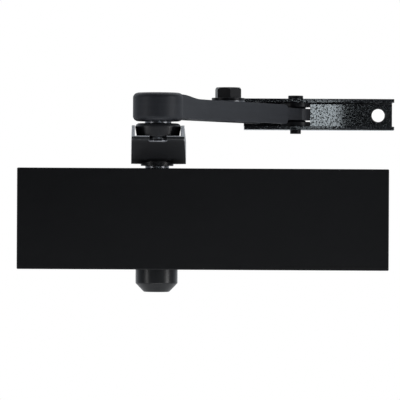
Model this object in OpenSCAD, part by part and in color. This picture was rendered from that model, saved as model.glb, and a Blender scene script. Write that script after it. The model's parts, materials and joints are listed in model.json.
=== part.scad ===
// Surface-mounted door closer with a double-lever arm and a channel-shaped frame shoe.
// Origin: centre of the four screw holes, on the back face that lies on the door.
// X runs along the body, Y points into the door, Z is up. All sizes are in millimetres.

/* [Cover] */
// Length of the cover
cover_l = 236; // [232:1:300]
// Height of the cover
cover_h = 64.4; // [64:0.2:84]
// Depth of the cover, from the door face
cover_d = 45; // [44.5:0.5:60]
// Wall of the cover
cover_wall = 1.8; // [1.2:0.1:2]
// Space between the cover and the top of the body
cover_gap = 2.4; // [1:0.1:4]

/* [Body] */
// Depth of the cast body
body_d = 42.8; // [42:0.1:42.8]
// Radius of the body's long front edges
body_edge_r = 6; // [2:0.5:6]
// Radius of the piston bore
bore_r = 16; // [15.5:0.25:16.5]
// Distance of the bore's axis from the door face
bore_depth = 22; // [21.5:0.25:22.5]
// Length of each screw lug
lug_l = 15; // [14:0.5:20]
// Thickness of the screw lugs
lug_t = 8; // [6:0.5:10]
// Height of the screw lugs
lug_h = 50; // [46:1:54]
// Distance of the screw holes from the ends of the lugs
screw_in_x = 8; // [7:0.5:8.5]
// Distance of the screw holes from the upper and lower edges of the lugs
screw_in_z = 7; // [6:0.5:10]
// Radius of the screw holes
screw_hole_r = 3.3; // [2.7:0.1:3.5]

/* [Plugs and valves] */
// Radius of the threaded seats of the end plugs
plug_r = 18; // [17.5:0.25:18.5]
// Length of the end plugs
plug_l = 14; // [10:1:16]
// Radius of a regulating valve
valve_r = 3.2; // [2.8:0.1:3.6]
// Length of a regulating valve, without its needle
valve_l = 22; // [18:1:26]
// Length of a valve's needle
needle_l = 6; // [4:0.5:8]
// Distance of the valves from the bore's axis, along Y
valve_y = 13.5; // [13:0.5:14.5]
// Distance of the valves from the bore's axis, along Z
valve_z = 20.5; // [20:0.5:21.5]
// Radius of the power screw
power_r = 4; // [3:0.5:5]
// Travel of the spring seat along the power screw
power_travel = 9; // [6:0.5:10]

/* [Pinion] */
// Distance of the pinion from the middle of the body, along X
pinion_x = -29.5; // [-34:0.5:-25]
// Number of teeth on the pinion
pinion_teeth = 12; // [12:1:12]
// Module of the teeth
tooth_module = 1.6; // [1.5:0.05:1.65]
// Radius of the pinion's shaft
shaft_r = 7.65; // [7:0.05:8]
// Across the flats of the pinion's square ends
square_af = 10.4; // [9:0.1:10.6]
// Radius of the pinion bushes
bush_r = 11.5; // [11.5:0.1:12]
// Height of a pinion bush
bush_h = 5.5; // [4:0.5:6]
// Height of a pinion seal
seal_h = 2.5; // [2:0.25:3]
// Radius of the threaded glands
gland_r = 13; // [12.5:0.25:13]
// Radius of the ring under the main arm
collar_r = 10.5; // [9:0.5:12]
// Thickness of the ring under the main arm
collar_t = 1.3; // [1:0.1:3]
// Height of the bare neck above the cover
neck_h = 1.6; // [1:0.1:6]

/* [Pinion cap] */
// Radius of the cap
cap_r = 13.5; // [13.2:0.1:14]
// How far the cap stands out below the cover
cap_out = 14.7; // [12:0.1:20]
// Height of the chamfer at its end
cap_chamfer_h = 5.6; // [3:0.1:7]
// Radius of its flat end
cap_end_r = 8.1; // [6:0.1:10]

/* [Piston and spring] */
// Length of each piston head
head_l = 10; // [8:0.5:12]
// Largest turn of the main arm, in degrees
arm_turn = 150; // [120:5:150]
// Radius of the spring's wire
wire_r = 2.3; // [1.8:0.1:2.4]
// Number of coils
coils = 8; // [6:1:8]
// Thickness of the spring seat
seat_t = 6; // [5:0.5:8]

/* [Main arm] */
// Distance from the pinion to the elbow
arm_l = 150; // [120:1:190]
// Turn of the main arm from square to the body, in degrees
arm_angle = 0.95; // [0:0.05:3]
// Half the width of the arm at the pinion
root_r = 17.6; // [16.5:0.1:19]
// Distance of the arm's round root to the side of the pinion
root_shift = 0.9; // [0:0.1:1.5]
// Half the width of the arm at the elbow
elbow_hw = 15.5; // [15.5:0.1:17]
// Thickness of the pressed steel
sheet = 1.8; // [1.5:0.1:1.8]
// Rise of the arm from the pinion to the elbow
arm_rise = 13.2; // [11:0.1:14]
// Height of the boss inside the root, with the sheet
root_boss_h = 10.9; // [10.4:0.1:12]
// Height of the arm's sides at the pinion
side_root_h = 14.4; // [12:0.1:15]
// Height of the arm's sides at the elbow
side_elbow_h = 7.9; // [7:0.1:9]
// How far the arm runs past the elbow
arm_over = 13.5; // [13:0.5:18]

/* [Elbow] */
// Radius of the elbow boss
boss_r = 13.6; // [12:0.1:13.6]
// Height of the elbow boss
boss_h = 7.6; // [7:0.1:12]
// Radius of the elbow washer
elbow_washer_r = 7.9; // [7:0.1:10]
// Thickness of the elbow washer
elbow_washer_t = 1.2; // [0.6:0.1:2]
// Radius of the elbow pin
elbow_pin_r = 5; // [4:0.1:5.5]
// Radius of the forearm's barrel hub
hub_r = 15; // [14:0.1:17]
// Height of the forearm's barrel hub
hub_h = 17; // [16:0.1:22]

/* [Forearm] */
// Angle between the forearm and the body, in degrees
forearm_angle = 61.33; // [50:0.01:75]
// Width of the forearm's bar
bar_w = 22; // [21:0.1:24]
// Height of the forearm's bar
bar_h = 12.1; // [12:0.1:13.5]
// Length of the rod between the bar and the shoe pin
rod_out = 31.5; // [28:0.1:40]
// Top wall of the bar over the rod
bar_top = 1.7; // [1.5:0.1:3]
// Width of the rod
rod_w = 15; // [14:0.1:16]
// Thickness of the rod
rod_t = 7.4; // [6:0.1:7.5]
// Radius of the rod's eye
eye_r = 9.5; // [8:0.1:9.8]
// Distance from the elbow to the clamp bolt
bolt_s = 88; // [85:1:100]
// Travel of the rod each way
rod_travel = 12; // [8:0.5:12]

/* [Clamp bolt] */
// Radius of the bolt's shank
bolt_r = 5; // [4:0.5:5]
// Across the flats of its head
bolt_af = 14.8; // [13:0.1:17]
// Height of its head
bolt_head_h = 6.5; // [5:0.1:8]
// Radius of both washers
flat_washer_r = 10.2; // [9:0.1:11]
// Thickness of the flat washer
flat_washer_t = 0.8; // [0.6:0.1:2]
// Thickness of the split washer
split_washer_t = 1.7; // [1.2:0.1:3]

/* [Shoe] */
// Length of the shoe
shoe_l = 96; // [90:1:120]
// Height of the shoe
shoe_h = 20; // [19.9:0.1:24]
// Depth of the shoe's flanges, from the frame face
shoe_d = 25; // [24:0.5:30]
// Thickness of the shoe's sheet
shoe_t = 2.3; // [2:0.1:2.3]
// Distance of the pin from the frame face
pin_depth = 14; // [13.8:0.1:15]
// Distance of the pin from the shoe's left end
pin_in = 33.2; // [30:0.1:40]
// Radius of the shoe pin
shoe_pin_r = 3.5; // [3:0.1:4]
// Radius of the shoe's screw holes
shoe_hole_r = 4.25; // [3:0.05:4.5]
// Radius of their countersinks
shoe_sink_r = 6.2; // [5:0.1:6.5]
// Depth of their countersinks
shoe_sink_h = 1.2; // [0.8:0.1:1.6]
// Distance of the screw holes from the shoe's ends
shoe_hole_in = 9; // [8:0.5:12]
// Opening in the web to the left of the pin
window_left = 7; // [5:0.1:10]
// Opening in the web to the right of the pin
window_right = 9.8; // [5:0.1:12]

/* [Fits] */
// Radial clearance of a shaft that turns in its bore
run_gap = 0.05; // [0.02:0.01:0.1]
// Radial clearance of a threaded plug or gland
thread_gap = 0.1; // [0.05:0.01:0.2]
// Clearance at the ends and sides of pieces that slide
side_gap = 0.15; // [0.1:0.01:0.3]

/* [Hidden] */
$fn = 64;
EPS = 0.01;            // reach of a cut past the face that it leaves
CUT = 400;             // longer than the object, for cuts that go right through
bore_y = -bore_depth;
cover_top = cover_h / 2;
body_top = cover_top - cover_wall - cover_gap;
lug_gap = 1.2;         // between the lugs and the cover's ends
lug_end = cover_l / 2 - cover_wall - lug_gap;
body_end = lug_end - lug_l;
plug_in = body_end - plug_l;

// Cover screws
cs_r = 2;              // shank radius
cs_head_r = 3.8;       // head radius
cs_l = 11;             // length
cs_gap = 0.1;          // of the head in the cover

// Gear and rack
pitch_r = pinion_teeth * tooth_module / 2;
tip_r = pitch_r + tooth_module;
root_gear_r = pitch_r - 1.25 * tooth_module;
gear_gap = 0.4;        // between the gear's rims and the bore
gear_hh = sqrt(pow(bore_r, 2) - pow(tip_r, 2)) - gear_gap;   // half the height of the gear
tip_gap = 1.3;         // between the gear's teeth and the ends of the piston's window
backlash = 0.3;
rack_pitch = PI * tooth_module;
piston_travel = pitch_r * arm_turn * PI / 180;
window_gap = tip_r + tip_gap;
piston_r = bore_r - run_gap;
piston_win_left = pinion_x - piston_travel - window_gap;
piston_win_right = pinion_x + window_gap;
piston_left = piston_win_left - head_l;
piston_right = piston_win_right + head_l;
rack_teeth = floor((piston_win_right - piston_win_left) / rack_pitch) + 2;
ring_w = 2;            // width of a piston ring
ring_depth = 1.5;      // depth of its groove
ball_r = 2.5;          // ball of the one-way valve
ball_gap = 0.15;       // around the ball in its pocket
ball_pocket = 7;       // depth of the pocket
retainer_t = 1.6;      // thickness of the ball's retainer
oil_r = 1.6;           // radius of the oil passages
passage_l = 12;        // length of an oil passage past the needle
nose_r = 9;            // nose of the left plug
nose_gap = 0.3;        // between the nose and the piston at rest

// Power screw, seat and spring
power_collar_t = 3;
seat_gap = 4;          // between the seat and the screw's collar
seat_right = plug_in - power_collar_t - seat_gap;
seat_left = seat_right - seat_t;
coil_gap = 1.4;        // between the spring and the bore
coil_r = piston_r - wire_r - coil_gap;
spring_l = seat_left - piston_right;

// Grooves for sealing rings: a wide one in the end plugs, a narrow one in the valves and the power screw
plug_groove_in = 2;    // from the plug's inner end
plug_groove_w = 2.4;
plug_groove_t = 1.6;
groove_in = 4;         // from the valve's inner end
groove_w = 1.4;
groove_t = 1;
power_groove_in = 6;   // from the right plug's inner end
seal_gap = 0.02;       // of a ring in its groove

// Stack on the pinion, upwards from the middle of the body
bush_gap = 0.2;        // between the bore and the bushes
bush_z = bore_r + bush_gap;
seal_z = bush_z + bush_h;
gland_z = seal_z + seal_h;
gland_gap = 0.4;       // between a gland and the shaft
lip_wall = 1;          // walls of a lip seal
spanner_hole_r = 1;    // holes in a gland for a pin spanner
spanner_hole_l = 2;
neck_gap = 1.35;       // between the cover and the pinion's neck
cap_gap = 0.3;         // between the cover and the cap
collar_z = cover_top + neck_h;
arm_z = collar_z + collar_t;
root_boss_top = arm_z + root_boss_h;
square_low = 0.5;      // the pinion's end lies this far below the boss's top
square_top = root_boss_top - square_low;
arm_washer_r = 9;
arm_washer_t = 1.5;
arm_screw_r = 2.5;
arm_screw_l = 12;      // depth of its thread in the pinion
arm_screw_head_r = 5.5;
arm_screw_head_h = 4;
arm_screw_gap = 0.6;   // of the washer on the screw
cap_end_t = 2.5;       // end wall of the cap
cap_room = 2.5;        // between the cap's end wall and the pinion's square end
cap_wall = 2.2;        // side wall of the cap
cap_bore_r = square_af * sqrt(2) / 2 + 1.65;   // bore around the lower square end
lower_end = -cover_top - cap_out + cap_end_t + cap_room;

// Elbow stack
elbow_web_z = arm_z + arm_rise;
boss_z = elbow_web_z + sheet;
elbow_washer_z = boss_z + boss_h;
hub_z = elbow_washer_z + elbow_washer_t;
bar_lift = 1.8;        // underside of the bar above the hub's
bar_z = hub_z + bar_lift;
bar_top_z = bar_z + bar_h;
rod_top_z = bar_top_z - bar_top - run_gap;
rod_z = rod_top_z - rod_t;
elbow = [pinion_x + arm_l * sin(arm_angle), bore_y - arm_l * cos(arm_angle)];

// Shoe
shoe_pin_y = -pin_depth;
forearm_l = (shoe_pin_y - elbow[1]) / sin(forearm_angle);
bar_l = forearm_l - rod_out;
shoe_pin_x = elbow[0] + forearm_l * cos(forearm_angle);
shoe_mid_z = rod_z + rod_t / 2;
shoe_left = shoe_pin_x - pin_in;
spacer_flange = 3;     // thick outer part of a spacer
spacer_neck_r = 6.5;   // narrow inner part of a spacer
spacer_h = (shoe_h - rod_t) / 2 - shoe_t - side_gap;

// ---- Shapes that several pieces share ----

// Extrudes an outline drawn in (Y, Z) along X, from x0 to x1
module along_x(x0, x1) translate([x0, 0, 0]) rotate([90, 0, 90]) linear_extrude(x1 - x0) children();

// Cylinder along X at the bore's axis, moved by dy and dz
module bar_x(r, x0, x1, dy = 0, dz = 0)
    translate([x0, bore_y + dy, dz]) rotate([0, 90, 0]) cylinder(r = r, h = x1 - x0);

// Disc with both rims rounded by e
module rounded_disc(r, h, e) rotate_extrude() {
    square([r - e, h]);
    translate([0, e]) square([r, h - 2 * e]);
    for (z = [e, h - e]) translate([r - e, z]) circle(e);
}

// Flat ring from z0 to z1
module ring(r_out, r_in, z0, z1) translate([0, 0, z0]) difference() {
    cylinder(r = r_out, h = z1 - z0);
    translate([0, 0, -EPS]) cylinder(r = r_in, h = z1 - z0 + 2 * EPS);
}

// Groove of width w and depth t around a shaft of radius r, from z = 0 up
module groove(r, w, t) difference() {
    cylinder(r = r + 1, h = w);
    cylinder(r = r - t, h = w);
}

// Round sealing ring that fills a groove of depth t in a shaft of radius r, centred on z = 0
module seal_ring(r, t) rotate_extrude() translate([r - t / 2, 0]) circle(t / 2 - seal_gap);

// Hexagonal socket, from z = 0 down
module hex_socket(af, depth) translate([0, 0, -depth]) cylinder(d = af / cos(30), h = depth + EPS, $fn = 6);

module at_pinion() translate([pinion_x, bore_y, 0]) children();
module at_elbow() translate([elbow[0], elbow[1], 0]) rotate([0, 0, forearm_angle]) children();
module at_arm() at_pinion() rotate([0, 0, arm_angle]) children();
module at_shoe_pin() translate([shoe_pin_x, shoe_pin_y, 0]) children();

// Copies something above the body to the same place below it
module at_end(end) if (end > 0) children(); else mirror([0, 0, 1]) children();

// ---- Body ----

module body_outline() {
    translate([-body_d + body_edge_r, -body_top]) square([body_d - body_edge_r, 2 * body_top]);
    translate([-body_d, -body_top + body_edge_r]) square([body_edge_r + EPS, 2 * (body_top - body_edge_r)]);
    for (s = [-1, 1]) translate([-body_d + body_edge_r, s * (body_top - body_edge_r)]) circle(body_edge_r);
}

// Bore of one valve, from the end of the body inwards, with its oil passage
module valve_bore(side, dz) {
    place_valve(side, dz) {
        translate([0, 0, -valve_l]) cylinder(r = valve_r + run_gap, h = valve_l + EPS);
        translate([0, 0, -valve_l - needle_l - passage_l]) cylinder(r = oil_r, h = needle_l + passage_l + EPS);
    }
}

// Puts a valve's mouth on the body's end: side is -1 for the left end and 1 for the right end
module place_valve(side, dz) translate([side * body_end, bore_y - valve_y, dz]) rotate([0, side * 90, 0]) children();

module housing() color("dimgray") difference() {
    union() {
        along_x(-body_end, body_end) body_outline();
        translate([-lug_end, -lug_t, -lug_h / 2]) cube([2 * lug_end, lug_t, lug_h]);
    }
    bar_x(bore_r, -body_end - EPS, body_end + EPS);
    for (s = [-1, 1])
        bar_x(plug_r, s > 0 ? plug_in : -body_end - EPS, s > 0 ? body_end + EPS : -plug_in);
    at_pinion() translate([0, 0, -CUT / 2]) cylinder(r = bush_r, h = CUT);
    at_pinion() for (s = [-1, 1]) at_end(s)
        translate([0, 0, gland_z]) cylinder(r = gland_r + thread_gap, h = body_top - gland_z + EPS);
    for (x = [-1, 1], z = [-1, 1])
        translate([x * (lug_end - screw_in_x), EPS, z * (lug_h / 2 - screw_in_z)])
            rotate([90, 0, 0]) cylinder(r = screw_hole_r, h = lug_t + 2 * EPS);
    valve_bore(-1, valve_z);
    valve_bore(-1, -valve_z);
    valve_bore(1, valve_z);
    for (s = [-1, 1]) translate([s * (lug_end - cs_l / 2), -lug_t / 2, 0])
        rotate([0, 90, 0]) cylinder(r = cs_r, h = cs_l + 2 * EPS, center = true);
}

module cover() color("black") difference() {
    translate([-cover_l / 2, -cover_d, -cover_top]) cube([cover_l, cover_d, cover_h]);
    translate([-cover_l / 2 + cover_wall, -cover_d + cover_wall, -cover_top + cover_wall])
        cube([cover_l - 2 * cover_wall, cover_d, cover_h - 2 * cover_wall]);
    // open slots, so that the cover slips over the pinion's neck and the cap
    cover_slot(shaft_r + neck_gap, 1);
    cover_slot(cap_r + cap_gap, -1);
    for (s = [-1, 1]) place_cover_screw(s) {
        translate([0, 0, -cover_wall - EPS])
            cylinder(r1 = cs_r + cs_gap, r2 = cs_head_r, h = cover_wall + 2 * EPS);
    }
}

module cover_slot(r, end) at_pinion() at_end(end) translate([0, 0, cover_top - cover_wall - EPS]) {
    cylinder(r = r, h = cover_wall + 2 * EPS);
    translate([-r, 0, 0]) cube([2 * r, bore_depth + EPS, cover_wall + 2 * EPS]);
}

// Puts a cover screw's head in the cover's end, pointing out
module place_cover_screw(side) translate([side * cover_l / 2, -lug_t / 2, 0]) rotate([0, side * 90, 0]) children();

module cover_screws() color("black") for (s = [-1, 1]) place_cover_screw(s) difference() {
    union() {
        translate([0, 0, -cs_l]) cylinder(r = cs_r, h = cs_l - cs_gap);
        translate([0, 0, -cover_wall - cs_gap]) cylinder(r1 = cs_r, r2 = cs_head_r - cs_gap, h = cover_wall);
    }
    hex_socket(2.2, 1.4);
}

// End plug, drawn with its outer face up at z = 0
module plug_blank() difference() {
    translate([0, 0, -plug_l]) cylinder(r = plug_r - thread_gap, h = plug_l);
    translate([0, 0, -plug_l + plug_groove_in]) groove(plug_r, plug_groove_w, plug_groove_t);
}

module left_plug() color("silver") difference() {
    union() {
        translate([-body_end, bore_y, 0]) rotate([0, -90, 0]) plug_blank();
        // nose that the piston comes to rest on
        bar_x(nose_r, -plug_in - EPS, piston_left - nose_gap);
    }
    translate([-body_end, bore_y, 0]) rotate([0, -90, 0]) hex_socket(12, 7);
}

module right_plug() color("silver") difference() {
    translate([body_end, bore_y, 0]) rotate([0, 90, 0]) plug_blank();
    bar_x(power_r + run_gap, plug_in - EPS, body_end + EPS);
}

module plug_seals() color("black") for (s = [-1, 1])
    translate([s * (plug_in + plug_groove_in + plug_groove_w / 2), bore_y, 0]) rotate([0, 90, 0])
        seal_ring(plug_r, plug_groove_t);

module bearing() at_pinion() ring(bush_r, shaft_r + run_gap, bush_z, bush_z + bush_h);
module upper_bearing() color("darkgoldenrod") bearing();
module lower_bearing() color("darkgoldenrod") at_end(-1) bearing();

module lip_seal() at_pinion() difference() {
    ring(bush_r, shaft_r + run_gap, seal_z, seal_z + seal_h);
    ring(bush_r - lip_wall, shaft_r + lip_wall, seal_z + lip_wall, seal_z + seal_h + EPS);
}
module upper_seal() color("black") lip_seal();
module lower_seal() color("black") at_end(-1) lip_seal();

module gland() at_pinion() difference() {
    ring(gland_r, shaft_r + gland_gap, gland_z, body_top);
    for (s = [-1, 1]) translate([s * (shaft_r + gland_gap + gland_r) / 2, 0, body_top - spanner_hole_l])
        cylinder(r = spanner_hole_r, h = spanner_hole_l + EPS);
}
module upper_gland() color("silver") gland();
module lower_gland() color("silver") at_end(-1) gland();

module pinion_cap() color("black") at_pinion() rotate_extrude() difference() {
    polygon([
        [0, -cover_top - cap_out], [cap_end_r, -cover_top - cap_out],
        [cap_r, -cover_top - cap_out + cap_chamfer_h], [cap_r, -body_top], [0, -body_top]
    ]);
    translate([-EPS, -cover_top - cap_out + cap_end_t]) square([cap_bore_r, CUT]);
    translate([-EPS, -cover_top - cap_out + cap_chamfer_h + cap_wall]) square([cap_r - cap_wall, CUT]);
}

// ---- Regulating valves ----

module valve() difference() {
    union() {
        translate([0, 0, -valve_l + 0.2]) cylinder(r = valve_r, h = valve_l - 0.2);
        translate([0, 0, -valve_l - needle_l]) cylinder(r1 = 0.4, r2 = 1.5, h = needle_l + 0.3);
    }
    translate([0, 0, -valve_l + groove_in]) groove(valve_r, groove_w, groove_t);
    hex_socket(2.5, 3);
}
module valve_seal() translate([0, 0, -valve_l + groove_in + groove_w / 2]) seal_ring(valve_r, groove_t);

module sweep_valve() color("goldenrod") place_valve(-1, valve_z) valve();
module sweep_valve_seal() color("black") place_valve(-1, valve_z) valve_seal();
module latch_valve() color("goldenrod") place_valve(-1, -valve_z) valve();
module latch_valve_seal() color("black") place_valve(-1, -valve_z) valve_seal();
module backcheck_valve() color("goldenrod") place_valve(1, valve_z) valve();
module backcheck_valve_seal() color("black") place_valve(1, valve_z) valve_seal();

// ---- Power screw, seat and spring ----

module power_screw() color("silver") difference() {
    union() {
        bar_x(power_r, seat_left - power_travel - 4, body_end - 1);
        bar_x(2 * power_r, plug_in - power_collar_t - 0.1, plug_in - 0.1);
    }
    translate([plug_in + power_groove_in, bore_y, 0]) rotate([0, 90, 0]) groove(power_r, groove_w, groove_t);
    translate([body_end - 1, bore_y, 0]) rotate([0, 90, 0]) hex_socket(4, 4);
}

module power_screw_seal() color("black")
    translate([plug_in + power_groove_in + groove_w / 2, bore_y, 0]) rotate([0, 90, 0]) seal_ring(power_r, groove_t);

module spring_seat() color("gray") difference() {
    union() {
        bar_x(piston_r - 0.4, seat_left, seat_right);
        bar_x(coil_r - wire_r - 0.6, seat_left - 3, seat_left + EPS);
    }
    bar_x(power_r + run_gap, seat_left - 3 - EPS, seat_right + EPS);
}

// Height of the wire along the coil at turn t: the two end coils lie close together
pitch_end = 2 * wire_r + 0.3;
pitch_mid = (spring_l - 2 * wire_r - 0.2 - 2 * pitch_end) / (coils - 2);
function coil_x(t) = t < 1 ? pitch_end * t
    : t > coils - 1 ? pitch_end * (t - coils + 2) + pitch_mid * (coils - 2)
    : pitch_end + pitch_mid * (t - 1);
coil_steps = 22;
wire_sides = 8;

module spring() color("steelblue") {
    rings = coils * coil_steps + 1;
    points = [for (i = [0:rings - 1], j = [0:wire_sides - 1])
        let (a = 360 * i / coil_steps, b = 360 * j / wire_sides, r = coil_r + wire_r * cos(b))
        [coil_x(i / coil_steps) + wire_r * sin(b), r * cos(a), r * sin(a)]];
    walls = [for (i = [0:rings - 2], j = [0:wire_sides - 1])
        let (k = (j + 1) % wire_sides)
        [i * wire_sides + j, i * wire_sides + k, (i + 1) * wire_sides + k, (i + 1) * wire_sides + j]];
    start = [for (j = [0:wire_sides - 1]) wire_sides - 1 - j];
    end = [for (j = [0:wire_sides - 1]) (rings - 1) * wire_sides + j];
    translate([piston_right + wire_r + 0.1, bore_y, 0]) polyhedron(points, concat(walls, [start, end]));
}

// ---- Piston ----

// Outline of the rack's teeth in (X, Y), with a gap of the rack on the pinion's axis line
module rack_outline() {
    line = bore_y - pitch_r;
    half = rack_pitch / 4 - backlash / 2;
    slope = tan(20);
    for (i = [0:rack_teeth - 1]) {
        x = pinion_x + (i - rack_teeth + 3.5) * rack_pitch;
        translate([x, line]) polygon([
            [-half - slope * (1.25 * tooth_module + 0.2), -1.25 * tooth_module - 0.2],
            [half + slope * (1.25 * tooth_module + 0.2), -1.25 * tooth_module - 0.2],
            [half - slope * 0.9 * tooth_module, 0.9 * tooth_module],
            [-half + slope * 0.9 * tooth_module, 0.9 * tooth_module]
        ]);
    }
}

module piston() color("lightsteelblue") difference() {
    bar_x(piston_r, piston_left, piston_right);
    translate([0, 0, -bore_r - 1]) linear_extrude(2 * bore_r + 2) difference() {
        translate([piston_win_left, bore_y - pitch_r - 1.25 * tooth_module])
            square([piston_win_right - piston_win_left, pitch_r + 1.25 * tooth_module + tip_r + 0.6]);
        rack_outline();
    }
    for (x = [piston_left + head_l / 2, piston_right - head_l / 2])
        translate([x - ring_w / 2, bore_y, 0]) rotate([0, 90, 0]) difference() {
            cylinder(r = bore_r + 1, h = ring_w);
            cylinder(r = piston_r - ring_depth, h = ring_w);
        }
    // one-way valve in the right head: seat, ball pocket and retainer
    bar_x(oil_r, piston_win_right - EPS, piston_right + EPS);
    bar_x(ball_r + ball_gap, piston_right - ball_pocket, piston_right + EPS);
}

module piston_rings() color("black")
    for (x = [piston_left + head_l / 2, piston_right - head_l / 2])
        translate([x - ring_w / 2, bore_y, 0]) rotate([0, 90, 0]) difference() {
            cylinder(r = bore_r - run_gap / 2, h = ring_w);
            translate([0, 0, -EPS]) cylinder(r = piston_r - ring_depth, h = ring_w + 2 * EPS);
        }

module check_ball() color("silver") translate([piston_right - ball_pocket + ball_r + ball_gap, bore_y, 0])
    sphere(ball_r);

module ball_retainer() color("goldenrod") difference() {
    bar_x(ball_r + ball_gap, piston_right - retainer_t, piston_right);
    bar_x(oil_r - 0.4, piston_right - retainer_t - EPS, piston_right + EPS);
}

// ---- Pinion ----

// Involute outline of the pinion, with a tooth pointing along +X
base_r = pitch_r * cos(20);
function inv_angle(r) = let (t = sqrt(pow(r / base_r, 2) - 1)) t * 180 / PI - atan(t);
flank_steps = 6;
tooth_half = 90 / pinion_teeth - backlash / 2 / pitch_r * 180 / PI / 2;
flank_r = [for (k = [0:flank_steps])
    max(base_r, root_gear_r) + (tip_r - 0.1 - max(base_r, root_gear_r)) * k / flank_steps];
function flank_a(r) = tooth_half + inv_angle(pitch_r) - inv_angle(r);

module gear_outline() {
    circle(root_gear_r);
    for (i = [0:pinion_teeth - 1]) rotate(360 * i / pinion_teeth) polygon(concat(
        [[0, -root_gear_r * sin(flank_a(flank_r[0]))]],
        [for (r = flank_r) [r * cos(flank_a(r)), -r * sin(flank_a(r))]],
        [for (k = [flank_steps:-1:0]) let (r = flank_r[k]) [r * cos(flank_a(r)), r * sin(flank_a(r))]],
        [[0, root_gear_r * sin(flank_a(flank_r[0]))]]
    ));
}

module pinion() color("silver") difference() {
    union() {
        // a tooth points at the rack, along -Y
        at_pinion() rotate(-90) translate([0, 0, -gear_hh]) linear_extrude(2 * gear_hh) gear_outline();
        at_pinion() for (s = [-1, 1]) at_end(s)
            translate([0, 0, gear_hh - EPS]) cylinder(r = shaft_r, h = bush_z + 2 - gear_hh);
        at_pinion() cylinder(r = shaft_r, h = arm_z);
        at_pinion() translate([0, 0, -body_top - 4]) cylinder(r = shaft_r, h = body_top);
        at_arm() translate([-square_af / 2, -square_af / 2, lower_end])
            cube([square_af, square_af, square_top - lower_end]);
    }
    at_pinion() translate([0, 0, square_top - arm_screw_l]) cylinder(r = arm_screw_r, h = arm_screw_l + EPS);
}

module spindle_collar() color("dimgray") at_pinion() ring(collar_r, shaft_r, collar_z, arm_z);

// ---- Main arm ----

arm_end = arm_l + arm_over;
crank_start = 2;       // where the arm starts to rise, from the pinion
crank_end = 75;        // where it is level again
foot_r = 10.6;         // flat foot under the root
root_boss_r = 12;      // boss inside the root
straight_l = 25;       // the arm's sides run parallel from here to the elbow

// Plan of the arm, drawn smaller all round by inset; the elbow end is cut square
module arm_plan(inset, over = 0) {
    translate([root_shift, 0]) circle(root_r - inset);
    polygon([
        [root_shift - root_r + inset, 0], [root_shift + root_r - inset, 0], [elbow_hw - inset, -arm_l + straight_l],
        [elbow_hw - inset, -arm_end - over], [-elbow_hw + inset, -arm_end - over],
        [-elbow_hw + inset, -arm_l + straight_l]
    ]);
}

// Side view of the arm in (Y, Z): from `low` above its underside to the top of its sides
module arm_side(low, high = 0) polygon([
    [root_r, arm_z + low], [-crank_start, arm_z + low], [-crank_end, elbow_web_z + low],
    [-arm_end - 1, elbow_web_z + low], [-arm_end - 1, elbow_web_z + side_elbow_h + high],
    [-crank_end, elbow_web_z + side_elbow_h + high], [-crank_start, arm_z + side_root_h + high],
    [root_r, arm_z + side_root_h + high]
]);

module main_arm() color([0.2, 0.2, 0.22]) at_arm() difference() {
    union() {
        difference() {
            intersection() {
                translate([0, 0, arm_z]) linear_extrude(arm_rise + side_root_h) arm_plan(0);
                along_x(-root_r - 2, root_r + 2) arm_side(0);
            }
            intersection() {
                translate([0, 0, arm_z]) linear_extrude(arm_rise + side_root_h + 5) arm_plan(sheet, 2);
                along_x(-root_r - 2, root_r + 2) arm_side(sheet, 3);
            }
        }
        translate([0, 0, arm_z + sheet - EPS]) cylinder(r = root_boss_r, h = root_boss_top - arm_z - sheet + EPS);
        translate([0, 0, arm_z]) cylinder(r = foot_r, h = sheet + 2);
    }
    translate([-square_af / 2, -square_af / 2, arm_z - 1]) cube([square_af, square_af, 20]);
    // the pin's slot, open at the arm's end
    translate([0, -arm_l, elbow_web_z - 1]) cylinder(r = elbow_pin_r + run_gap, h = sheet + 2);
    translate([-elbow_pin_r - run_gap, -arm_end - 1, elbow_web_z - 1])
        cube([2 * (elbow_pin_r + run_gap), arm_over + 1, sheet + 2]);
}

module arm_washer() color("silver") at_pinion() ring(arm_washer_r, arm_screw_r + arm_screw_gap, root_boss_top,
    root_boss_top + arm_washer_t);

module arm_screw() color("black") at_pinion() difference() {
    union() {
        translate([0, 0, square_top - arm_screw_l])
            cylinder(r = arm_screw_r, h = root_boss_top + arm_washer_t - square_top + arm_screw_l);
        translate([0, 0, root_boss_top + arm_washer_t]) rounded_disc(arm_screw_head_r, arm_screw_head_h, 0.8);
    }
    translate([0, 0, root_boss_top + arm_washer_t + arm_screw_head_h]) hex_socket(4, 2.4);
}

// ---- Elbow ----

elbow_head_r = 5.6;    // round head under the arm
elbow_head_h = 1.6;
boss_round = 2.4;      // rounding of the boss's top rim
boss_taper = 0.9;      // the boss's foot is smaller by this
hub_round = 3.2;       // rounding of the hub's rims
elbow_top_r = 7.6;     // spread head in the hub's recess
recess = 2.6;          // depth of the hub's recess
recess_gap = 0.4;      // around the pin's head in the recess

module at_elbow_axis() translate([elbow[0], elbow[1], 0]) children();

module elbow_boss() color([0.15, 0.15, 0.17]) at_elbow_axis() difference() {
    rotate_extrude() {
        polygon([
            [0, boss_z], [boss_r - boss_taper, boss_z], [boss_r, boss_z + boss_h - boss_round],
            [boss_r - boss_round, boss_z + boss_h], [0, boss_z + boss_h]
        ]);
        translate([boss_r - boss_round, boss_z + boss_h - boss_round]) circle(boss_round);
    }
    translate([0, 0, boss_z - 1]) cylinder(r = elbow_pin_r, h = boss_h + 2);
}

module elbow_washer() color("black") at_elbow_axis()
    ring(elbow_washer_r, elbow_pin_r, elbow_washer_z, hub_z - run_gap);

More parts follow.
